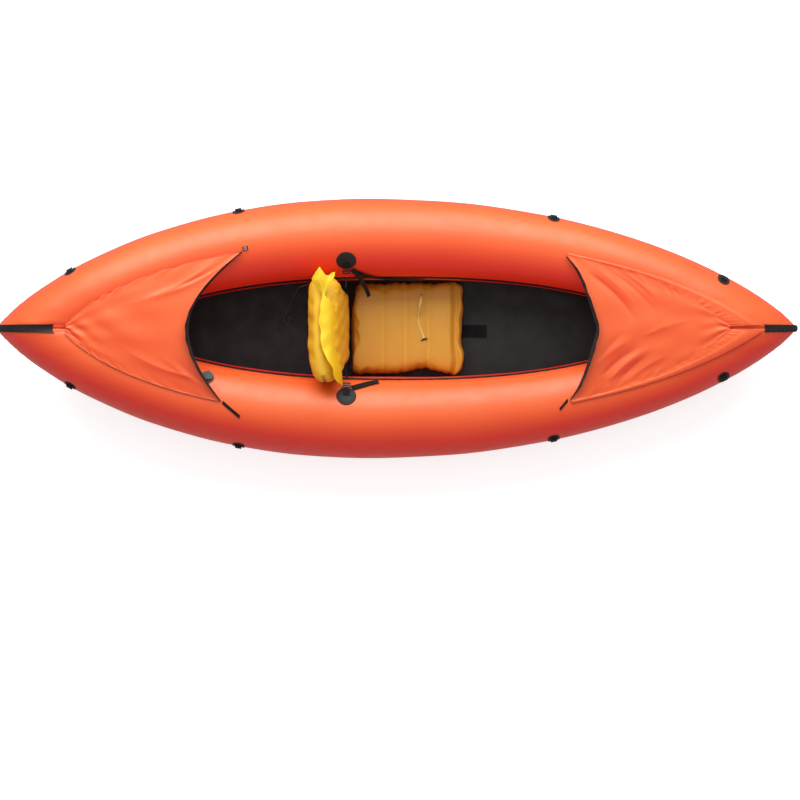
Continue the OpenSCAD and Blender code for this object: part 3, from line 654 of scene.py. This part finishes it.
FLOOR_END_T = 26 / 32
t = np.linspace(-FLOOR_END_T, FLOOR_END_T, 260)[:, None]
v = np.linspace(-2, 2, 121)[None]
t, v = np.broadcast_arrays(t, v)
over = floor_rows(t, v, FLOOR_GAP)
free = smooth(1 - np.abs(v), 0.35, 0.62) * smooth(1 - np.abs(t) / FLOOR_END_T, 0.02, 0.2)
under_seat = smooth(np.abs(over[..., 0] - 20), 200, 260)
over[..., 2] += free * under_seat * np.maximum(0, 0.9 + 0.9 * ripple(t * 12, v * 1.3, 31))
floor_obj = slab("floor_fabric_sheet", over, floor_rows(t, v, REST_Z), FLOOR, replaces=["floor_sheet"])


# ---------------------------------------------------------------- decks
CREST = 95.0

RIM_T, DECK_END_T = {-1: -0.343, 1: 0.3675}, {-1: -0.885, 1: 0.925}
CORNER_T = {-1: (-0.278, -0.236), 1: (0.319, 0.312)}  # starboard, port
DECK_OFF = 3.4
DECK_RISE = 14


def deck_pt(side, v, s, off):
    """Deck points: v across (1 on a crest, 1.2 at its edge), s from the cockpit to the boat's end."""
    w = np.minimum(1, np.abs(v))
    run = w**2 if side < 0 else 0.72 * np.sqrt(w**2 + 0.0012) + 0.28 * w**6
    corner = np.where(v < 0, *CORNER_T[side])
    t = mix(mix(RIM_T[side], corner, run), DECK_END_T[side], s)
    edge = 97 + 0 * t if side < 0 else 90 - 26 * (np.maximum(0, t - 0.35) / 0.65) ** 1.2
    crest = np.maximum(CREST, edge)
    f = np.clip((np.abs(v) - 1) / 0.2, 0, 1)
    c = hull(t, crest, DECK_OFF + off)
    e = hull(t, mix(crest, edge - 1, f), DECK_OFF + off)
    rise = DECK_RISE * (1 - s) ** 2 * (1 - v**2)
    inside = np.stack([c[..., 0], c[..., 1] * np.abs(v), c[..., 2] + rise], -1)
    p = np.where((np.abs(v) > 1)[..., None], e, inside)
    p[..., 1] *= np.sign(v)
    return p


def fold_field(p, folds):
    """Heights of long soft folds: each runs between two points, with a width and a height in mm."""
    total = np.zeros(p.shape[:2])
    for x0, y0, x1, y1, width, height in folds:
        run = np.array([x1 - x0, y1 - y0])
        length = np.linalg.norm(run)
        rel = p[..., :2] - np.array([x0, y0])
        s = rel @ run / length**2
        d = (rel[..., 0] * run[1] - rel[..., 1] * run[0]) / length
        d = d + 0.05 * length * np.sin(np.pi * np.clip(s, 0, 1))
        fade = smooth(s, -0.12, 0.1) * (1 - smooth(s, 0.55, 1.15))
        total += height * fade * np.exp(-(np.abs(d / (width * (0.6 + 0.8 * np.clip(s, 0, 1)))) ** 1.4))
    return total


BOW_FOLDS = [
    (587, 219, 780, 64, 8, -6.5), (632, 203, 772, 101, 7, -6), (594, 166, 727, 26, 9, -6),
    (719, 184, 859, 113, 7, -4.5), (612, 205, 756, 84, 12, 4), (655, 198, 800, 84, 10, 3.5),
    (600, 192, 745, 48, 12, 3.5), (760, 170, 800, 120, 6, -3), (795, 160, 842, 112, 6, -3),
    (618, -94, 693, -12, 11, -3), (633, -140, 746, -56, 12, -4.5), (671, -175, 783, -72, 10, -4),
    (600, -120, 720, -30, 13, 4), (650, -160, 765, -62, 11, 4), (700, -170, 830, -80, 9, 3),
    (760, -20, 930, 30, 12, 1.8)]
STERN_FOLDS = [
    (-475, 235, -660, 60, 10, 5.5), (-480, 215, -610, 40, 9, -5), (-500, 225, -760, 90, 9, 4.5),
    (-520, 222, -700, 120, 7, -4), (-480, -235, -640, -80, 11, 5), (-500, -225, -720, -90, 9, 4.5),
    (-520, -200, -640, -40, 9, -4.5), (-500, -232, -680, -100, 8, -4), (-560, 210, -830, 70, 9, 3),
    (-640, -150, -840, -60, 10, 3)]


def deck(name, side, folds, material, replaced, seed):
    s = np.linspace(0, 1, 190)[:, None]
    v = np.linspace(-1.2, 1.2, 141)[None]
    s, v = np.broadcast_arrays(s, v)
    p = deck_pt(side, v, s, 0.0)
    free = smooth(1.03 - np.abs(v), 0.02, 0.3) * smooth(s, -0.02, 0.1)
    lift = fold_field(p, folds) * free
    pucker = ripple(s * 17, v * 2, seed) * 0.9 * np.exp(-(((np.abs(v) - 0.98) / 0.1) ** 2)) * (1 - 0.5 * s)
    slow = ripple(s * 3.2, v * 1.2, seed + 1) * 1.3 * free
    weld = 0.9 * smooth(np.abs(v), 1.08, 1.09) * (1 - smooth(np.abs(v), 1.15, 1.16))
    hem = 0.5 * (1 - smooth(s, 0.012, 0.016))
    seams = sum(np.exp(-(((np.abs(v) - line) / 0.008) ** 2)) for line in (1.085, 1.155))
    # Tone: lighter lines along the two seams, and painted shade darkening the fold troughs.
    tone = 0.35 * seams - 0.12 * np.clip(-fold_field(p, folds), 0, 3) / 3
    grow = lift + pucker + slow + weld + hem
    over = deck_pt(side, v, s, 1.0) + np.array([0, 0, 1.0]) * grow[..., None]
    under_grow = (lift + np.maximum(pucker, 0) + slow) * free
    under = deck_pt(side, v, s, 0.0) + np.array([0, 0, 1.0]) * under_grow[..., None]
    obj = slab(name, over, under, material, tone, replaces=[replaced])
    return obj


deck("stern_deck_fabric", -1, STERN_FOLDS, DECK, "stern_deck", 41)
deck("bow_deck_fabric", 1, BOW_FOLDS, DECK, "bow_deck", 47)


def deck_binding(name, side, rim_h, replaced):
    """Folded webbing that stands along a deck's cockpit edge."""
    back = 1 if side < 0 else -1
    v = np.linspace(-1, 1, 181)[:, None]
    height = mix(rim_h, 6, np.abs(v) ** 3.5)
    h = np.linspace(0, 1, 15)[None]
    base = deck_pt(side, v, 0 * v, 0.0)
    lean = 1.6 * ripple(v * 4, 0 * v, 61 + side) * h**1.5 * np.clip(height / 20, 0.3, 1)
    round_top = np.sqrt(np.maximum(0, 1 - np.clip((h - 0.93) / 0.07, 0, 1) ** 2))

    def layer(dx, way):
        p = np.broadcast_to(base, (len(v), 15, 3)).copy()
        p[..., 0] += back * (dx + way * 1.1 * round_top - 0.2 * height * h) + lean
        p[..., 2] += -1 + (height + 1) * h + 0.5 * ripple(v * 9, h * 0, 71) * h
        return p

    line = np.exp(-(((height * (1 - h) - 4) / 0.7) ** 2))
    return slab(name, layer(1.7, 1), layer(1.7, -1), BINDING, 0.3 * line, replaces=[replaced])


deck_binding("stern_deck_rim", -1, 24, "stern_deck_binding")
deck_binding("bow_deck_rim", 1, 27, "bow_deck_binding")
keep_node(BINDING, "stern_deck_tabs", "bow_deck_tab")
keep_node(EYELET, "stern_deck_eyelet")


# ---------------------------------------------------------------- patches, loops, webbing
def hull_frame(t, a, off):
    """Origin and the along, round and outward directions at a place on the port tube."""
    p = hull(t, a, off)
    u = hull(t + 0.002, a, off) - hull(t - 0.002, a, off)
    v = hull(t, a + 1, off) - hull(t, a - 1, off)
    u /= np.linalg.norm(u)
    w = np.cross(u, v)
    w /= np.linalg.norm(w)
    if w @ (hull(t, a, 10) - hull(t, a, 0)) < 0:
        w = -w
    return p, u, np.cross(w, u), w


def placed(points, at, side, turned=False):
    """Points given in a hull frame's own axes, in the row frame."""
    p, u, v, w = at
    flip = -1 if turned else 1
    q = np.asarray(points, float)
    out = p + flip * q[..., 0:1] * u + flip * q[..., 1:2] * v + q[..., 2:3] * w
    return mirrored(out, side)


BEND_R = 124.0


def hull_patch(name, at, side, radius, stretch, material, replaced, seed):
    """A patch of coated fabric welded to the hull, round or drawn out by stretch mm round the tube."""
    r = np.concatenate([np.linspace(0.02, 0.9, 22), [0.93, 0.96, 0.985, 1.0]])[:, None] * radius
    k = np.linspace(0, 2 * np.pi, 97)[None]
    x, y = r * np.cos(k), r * np.sin(k) + stretch * np.tanh(4 * np.sin(k)) * r / radius
    fall = np.sqrt(BEND_R**2 - y**2) - BEND_R
    ring = 0.35 * np.exp(-(((r - 0.84 * radius) / 1.1) ** 2))
    edge = np.sqrt(np.maximum(0, 1 - (np.clip((r / radius - 0.93) / 0.07, 0, 1)) ** 2))
    h = 0.25 + 0.95 * edge - ring + 0.1 * ripple(x / 18, y / 18, seed)
    over = placed(np.stack([x, y, fall + h + 0 * x], -1), at, side)
    under = placed(np.stack([x, y, fall + 0 * x], -1), at, side)
    tone = np.broadcast_to(0.5 * ring / 0.35 + 0.25 * (r > 0.93 * radius), over.shape[:2])
    obj = slab(name, over, under, material, tone, replaces=[replaced])
    close_seam(obj)
    return obj


def close_seam(obj, distance=0.00002):
    """Joins the seam of a mesh that closes on itself and shuts its small centre hole."""
    bm = bmesh.new()
    bm.from_mesh(obj.data)
    bmesh.ops.remove_doubles(bm, verts=bm.verts, dist=distance)
    bmesh.ops.holes_fill(bm, edges=[e for e in bm.edges if e.is_boundary], sides=0)
    bmesh.ops.recalc_face_normals(bm, faces=bm.faces)
    bm.to_mesh(obj.data)
    bm.free()


TIE_PLACES = [(-0.6, 24), (-0.235, 17), (0.285, 21), (0.63, 33)]
PATCH_T = 1.2
TIE_HALF_W, TIE_STRETCH = 19.5, 8.5
LOOP_W = 20


def tie_point(number, side, t, a):
    """An oval patch with a band of webbing sewn down at both ends, high enough for a cord."""
    at = hull_frame(t, a, 0.9)
    hull_patch(f"tie_down_patch_{number}", at, side, TIE_HALF_W, TIE_STRETCH, PATCH,
               f"tie_patch_{number}", 80 + number)
    low, high = PATCH_T + 0.9, PATCH_T + 5
    half = [[0, -18.8, low], [0, -14, low], [0, -12, low + 0.9], [0, -10.6, high - 0.9],
            [0, -8.6, high - 0.2]]
    route = half + [[0, 0, high]] + [[0, -y, z] for _, y, z in half[::-1]]
    path = placed(curve_through(route, 1.2), at, side)
    across = np.broadcast_to(at[1] * np.array([1, side, 1]), path.shape)
    sweep(f"tie_down_webbing_{number}", path, across, flat_profile(LOOP_W, 1.5), WEBBING,
          replaces=[f"tie_loop_{number}"])


for k, (t0, a0) in enumerate(TIE_PLACES):
    tie_point(k + 1, 1, t0, a0)
    tie_point(k + 5, -1, t0, a0)

STRAP_R, STRAP_W, STRAP_T = 31, 20, 1.5
for word, side in (("port", 1), ("starboard", -1)):
    at = hull_frame(-0.044, 124, 1.2)
    hull_patch(f"{word}_strap_anchor_patch", at, side, STRAP_R, 0, PATCH, f"{word}_strap_patch", 90 + side)
    route = [[0, 1, PATCH_T + 1.2], [0, 6, PATCH_T + 1.5], [0, 14, PATCH_T + 1.9], [0, 20, PATCH_T + 2.3],
             [0, 23, PATCH_T + 2.5], [0, 24.8, PATCH_T + 2.5]]
    path = placed(curve_through(route, 1.5), at, side, turned=True)
    across = np.broadcast_to(at[1] * np.array([1, side, 1]), path.shape)
    sweep(f"{word}_anchor_webbing", path, across, flat_profile(STRAP_W, STRAP_T), WEBBING,
          replaces=[f"{word}_patch_webbing"])
keep_node(BLACK_PLASTIC, "port_buckle", "starboard_buckle")


def flat_strap(name, points, across, width, thick, replaced):
    path = curve_through(points, 2.5)
    way = np.broadcast_to(across, path.shape)
    return sweep(name, path, way, flat_profile(width, thick), WEBBING, replaces=replaced)


STRAP_CLIMB = 0.8


def hull_strap(name, first, last, width, ease, side, replaced):
    """A strap that lies on the hull; ease above 1 turns down the slope sooner."""
    f = np.linspace(0, 1, 60)
    t, a = mix(first[0], last[0], f), mix(first[1], last[1], 1 - (1 - f) ** ease)
    off = 2.4 + STRAP_CLIMB * f + STRAP_T / 2
    path = hull(t, a, off)
    across = hull(t, a + 1, off) - path
    return sweep(name, mirrored(path, side), mirrored(across, side), flat_profile(width, STRAP_T),
                 WEBBING, replaces=[replaced])


hull_strap("port_forward_webbing", (-0.034, 139), (0.088, 170), 16, 2.5, 1, "port_forward_strap")
hull_strap("starboard_webbing_tail", (-0.034, 137), (0.013, 152), 20.5, 1, -1, "starboard_strap_tail")
flat_strap("port_loose_webbing_tail",
           [[-147, 178, 227], [-137, 170, 217], [-127, 157, 197], [-115, 139, 160], [-106, 121, 118],
            [-100, 104, 80]], [0.76, 0.65, 0], 13, STRAP_T, ["port_strap_tail"])
for word, side in (("port", 1), ("starboard", -1)):
    path = curve_through([[-171, 128, 208], [-168, 144, 218], [-166, 157, 227]], 2)
    across = np.broadcast_to([0.35, -0.5, 0.79], path.shape)
    strap = sweep(f"{word}_back_webbing", mirrored(path, side), mirrored(across, side),
                  flat_profile(12, STRAP_T), WEBBING, body=None, replaces=[f"{word}_back_strap"])
    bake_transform(strap)


# ---------------------------------------------------------------- main valve
keep_node(VALVE, "main_valve_flange", "main_valve_body", "main_valve_cap")
keep_node(VALVE_RUBBER, "main_valve_flap")


# ---------------------------------------------------------------- cloth
CLOTH_CELL, CLOTH_FRAMES, CLOTH_CAP, CLOTH_NEAR = 6.0, 20, 6.0, 4


def cloth_pass(obj, pressure, hold_below):
    """Blows up a coarse cloth copy and gives the fine mesh its creases, capped at a few mm."""
    copy = bpy.data.objects.new(obj.name + "_cloth", obj.data.copy())
    scene.collection.objects.link(copy)
    remesh = copy.modifiers.new("remesh", "REMESH")
    remesh.mode = "VOXEL"
    remesh.voxel_size = CLOTH_CELL * MM
    graph = bpy.context.evaluated_depsgraph_get()
    copy.data = bpy.data.meshes.new_from_object(copy.evaluated_get(graph))
    copy.modifiers.clear()
    rest = mesh_points(copy.data)
    pins = copy.vertex_groups.new(name="held")
    pins.add([int(k) for k in np.flatnonzero(rest[:, 2] < hold_below * MM)], 1.0, "REPLACE")
    cloth = copy.modifiers.new("cloth", "CLOTH")
    cloth.settings.use_pressure = True
    cloth.settings.uniform_pressure_force = pressure
    cloth.settings.effector_weights.gravity = 0
    cloth.settings.vertex_group_mass = "held"
    cloth.settings.shrink_min = -0.02
    for step in range(1, CLOTH_FRAMES + 1):
        scene.frame_set(step)
    blown = mesh_points(copy.evaluated_get(bpy.context.evaluated_depsgraph_get()).data)
    scene.frame_set(1)
    move = blown - rest
    far = np.linalg.norm(move, axis=1)[:, None]
    move *= np.minimum(1, CLOTH_CAP * MM / np.maximum(far, 1e-9))
    tree = KDTree(len(rest))
    for k, point in enumerate(rest):
        tree.insert(point, k)
    tree.balance()
    fine = mesh_points(obj.data)
    for k, point in enumerate(fine):
        near = tree.find_n(point, CLOTH_NEAR)
        weight = np.array([1 / (d + 0.5 * MM) for _, _, d in near])
        fine[k] += weight @ move[[n for _, n, _ in near]] / weight.sum()
    obj.data.vertices.foreach_set("co", fine.ravel())
    obj.data.update()
    bpy.data.objects.remove(copy)


def mesh_points(mesh):
    points = np.empty(len(mesh.vertices) * 3)
    mesh.vertices.foreach_get("co", points)
    return points.reshape(-1, 3)


# ---------------------------------------------------------------- seat
SEAT_L, SEAT_HALF_W, SEAT_MID = 368.0, 154.0, 25.0
SEAT_WELDS = (107.0, 180.0, 254.0)
SEAT_HEM, SEAT_CORNER_R = 345.0, 34


def seat_shape():
    """Two sheets welded round the edge and along cross lines, blown up into four low air chambers."""
    x, w = np.meshgrid(np.linspace(0, SEAT_L, 200), np.linspace(-1, 1, 150), indexing="ij")
    pinch = sum(np.exp(-np.abs(x - line) / 10) for line in SEAT_WELDS)
    weld = sum(np.exp(-(((x - line) / 3.2) ** 2)) for line in SEAT_WELDS)
    corner = SEAT_CORNER_R - np.clip(np.minimum(x, SEAT_L - x), 0, SEAT_CORNER_R)
    cut = SEAT_CORNER_R - np.sqrt(SEAT_CORNER_R**2 - corner**2)
    half_w = SEAT_HALF_W - 0.5 - 2.5 * pinch - cut * 0.8
    half_w = half_w - np.where(w < 0, 15 * np.exp(-(((x - 242) / 58) ** 2)), 0)
    y = w * half_w + 1.5 * ripple(x / 40, w, 101) * np.abs(w) ** 3
    pulled = 15 * np.clip((y - 62) / 78, 0, 1) * np.clip(1 - x / 70, 0, 1)
    edge_wave = 3 * ripple(w * 1.3, 0 * x, 104) * smooth(x, SEAT_HEM - 40, SEAT_L)
    rise = np.maximum(0, 1 - np.abs(w) ** 9) ** 0.5
    aft = np.maximum(0, 1 - np.clip(1 - x / 16, 0, 1) ** 2.4) ** 0.5
    front = mix(1, 0.42, smooth(x, SEAT_HEM - 22, SEAT_HEM))
    roll = 0.26 * np.exp(-(((x - SEAT_HEM - 12) / 9) ** 2))
    tip = np.maximum(0, 1 - np.clip((x - SEAT_L + 9) / 9, 0, 1) ** 2) ** 0.5
    full = rise * aft * tip * (front + roll)
    soft = 0.9 * ripple(w * 2, x / 50, 105) * smooth(x, SEAT_HEM - 30, SEAT_HEM)
    top = SEAT_MID + 28 * full * (1 - 0.2 * pinch * rise) + 1.6 * weld * rise + soft * tip + 1.2
    bottom = SEAT_MID - 24.4 * rise * aft * tip * mix(1, 0.75, smooth(x, SEAT_HEM - 42, SEAT_L)) + 0.2
    # Painted shade: the tone darkens the aft end and the port side, in the backrest's shadow, and the
    # starboard edge; the weld lines get a painted highlight.
    shade = -0.2 * np.exp(-x / 26) - 0.12 * smooth(w, 0.72, 1) - 0.12 * smooth(-w, 0.85, 1)
    x = x + pulled + edge_wave
    return on_seat(np.stack([x, y, top], -1)), on_seat(np.stack([x, y, bottom], -1)), 0.2 * weld + shade


over, under, tone = seat_shape()
seat = slab("seat_air_cushion", over, under, SEAT, tone, replaces=["seat_cushion"])
cloth_pass(seat, 4.0, 12.0)
keep_node(HOOK, "seat_hook_strip")
keep_node(SEAT, "seat_tube_gland")


# ---------------------------------------------------------------- backrest
HINGE_X, HINGE_Z, BACK_H, BACK_T = -150.0, 52.0, 285.0, 98.0
BACK_LEAN = 8
BACK_ROWS = [(4, 118, 0.7), (22, 131, 0.95), (110, 134, 1), (150, 143, 1), (186, 162, 1),
             (215, 168, 0.97), (250, 168, 0.84), (273, 158, 0.6), (285, 144, 0.3)]


def backrest_frame(points):
    """Points in the backrest's own frame, leaning aft, in the row frame."""
    c, s = math.cos(math.radians(BACK_LEAN)), math.sin(math.radians(BACK_LEAN))
    p = np.asarray(points, float)
    x = p[..., 0] - BACK_T / 2
    return np.stack([HINGE_X - 5 + x * c - p[..., 2] * s, p[..., 1], HINGE_Z + x * s + p[..., 2] * c], -1)


BACK_ROUND = 0.7
CREASE = [(-186, 46), (-160, 40), (-120, 30), (-86, 20), (-63, 8), (19, -1), (100, 7), (190, 4)]


def crease_x(y):
    """Where the fold along the backrest's top runs, in its own frame."""
    return np.interp(y, *zip(*CREASE))


def backrest_top(x):
    """Height of the cushion's round top at x, without its groove."""
    n = 2 / BACK_ROUND
    return BACK_H / 2 + 2 + (BACK_H / 2 - 3) * np.maximum(0, 1 - np.abs(x / (BACK_T / 2)) ** n) ** (1 / n)


def backrest_shape():
    """A pillow made of closed loops round it, with a groove that opens towards starboard on top."""
    v = np.linspace(-1, 1, 190)[:, None]
    a = (np.arange(240) / 240 * 2 * np.pi)[None]
    c, s = np.cos(a), np.sin(a)
    up = np.sign(s) * np.abs(s) ** BACK_ROUND
    z = BACK_H / 2 + 2 + (BACK_H / 2 - 3) * up + 0 * v
    heights, widths, _ = zip(*BACK_ROWS)
    y = v * (np.interp(z, heights, widths) - 2)
    ends = np.maximum(0, 1 - np.abs(v) ** 7) ** 0.45
    x = (BACK_T / 2 - 1.5) * np.sign(c) * np.abs(c) ** BACK_ROUND * mix(0.12, 1, ends)
    side = np.abs(v) ** 3
    top = smooth(up, 0.55, 0.98)
    groove = mix(13, 52, smooth(-y, 50, 130)) * np.exp(-np.abs(x - crease_x(y)) / mix(9, 13, side))
    z = z - top * groove * mix(1, 0.4, smooth(y, 90, 150)) - 10 * top * side
    crease = 1.5 * ripple(y / 60, z / 70, 111) + 1.1 * ripple(y / 16, z / 40, 113) * side
    x = x + np.sign(c) * np.abs(c) ** 0.5 * crease * ends
    x = x + 8 * smooth(-y, 40, 170) * smooth(z, 60, 260) - 0.5
    return np.stack([np.clip(x, -BACK_T / 2, BACK_T / 2 + 5), y, z], -1)


rings = backrest_frame(backrest_shape())
n_rings, n_around = rings.shape[:2]
backrest = add_object("backrest_air_cushion", rings.reshape(-1, 3), tube_faces(n_rings, n_around), SEAT,
                      body="backrest", replaces=["backrest_cushion"])
cloth_pass(backrest, 4.0, 75.0)
# Painted light: the whole backrest is painted 0.6 of the way to the fabric's lit colour, as it stands higher
# in the light than the seat.
shade = backrest.data.attributes.new("tone", "FLOAT", "POINT")
shade.data.foreach_set("value", np.full(len(backrest.data.vertices), 0.6))


FLAP_TWIST_Y = 100.0
FLAP_PORT_END = [(0, 172), (0.14, 169), (0.34, 157), (0.6, 187), (1, 152)]


def folded_flap():
    """The spare fabric over the front lobe: a free edge along the fold, twisted over at its port end."""
    f, h = np.meshgrid(np.linspace(0, 1, 260), np.linspace(0, 1, 60), indexing="ij")
    y = mix(-180 + 14 * h, np.interp(h, *zip(*FLAP_PORT_END)), f)
    over = smooth(y, FLAP_TWIST_Y, 150)
    behind = smooth(FLAP_TWIST_Y - y, -14, 46)
    free = crease_x(y) - 32 * over - 3 * behind + 2.5 * ripple(y / 70, 0 * h, 122) * behind
    front = mix(crease_x(y) + 3 + 46 * np.clip((y - FLAP_TWIST_Y) / 72, 0, 1), BACK_T / 2 - 2.5, behind)
    x = mix(np.minimum(front, BACK_T / 2 - 2.5), free, h)
    peaks = 17 * over * np.interp(h, (0, 0.28, 0.6, 1), (0.9, 0.55, 1, 0.35))
    lift = (3 + 2 * ripple(y / 80, h, 123) + 5 * smooth(-y, 60, 120)) * h**3 * behind
    crumple = 1.2 * ripple(y / 60, h * 1.2, 125) * np.sin(np.pi * h)
    droop = 12 * np.abs(np.minimum(y, 0) / 172) ** 3
    z = backrest_top(mix(x, np.clip(x, -36, 27), over)) + 2.4 + lift + peaks + crumple - droop
    shade = -0.12 * (1 - h) * behind - 0.2 * smooth(-y, 110, 170)
    return np.stack([x + 8 * smooth(-y, 40, 170), y, np.minimum(z, BACK_H + 25)], -1), shade


flap, tone = folded_flap()
slab("backrest_top_flap_fabric", backrest_frame(flap + [0.4, 0, 0.5]), backrest_frame(flap - [0.4, 0, 0.5]),
     FLAP, tone, body="backrest", replaces=["backrest_top_flap"])

keep_node(WEBBING, "backrest_hinge_webbing")
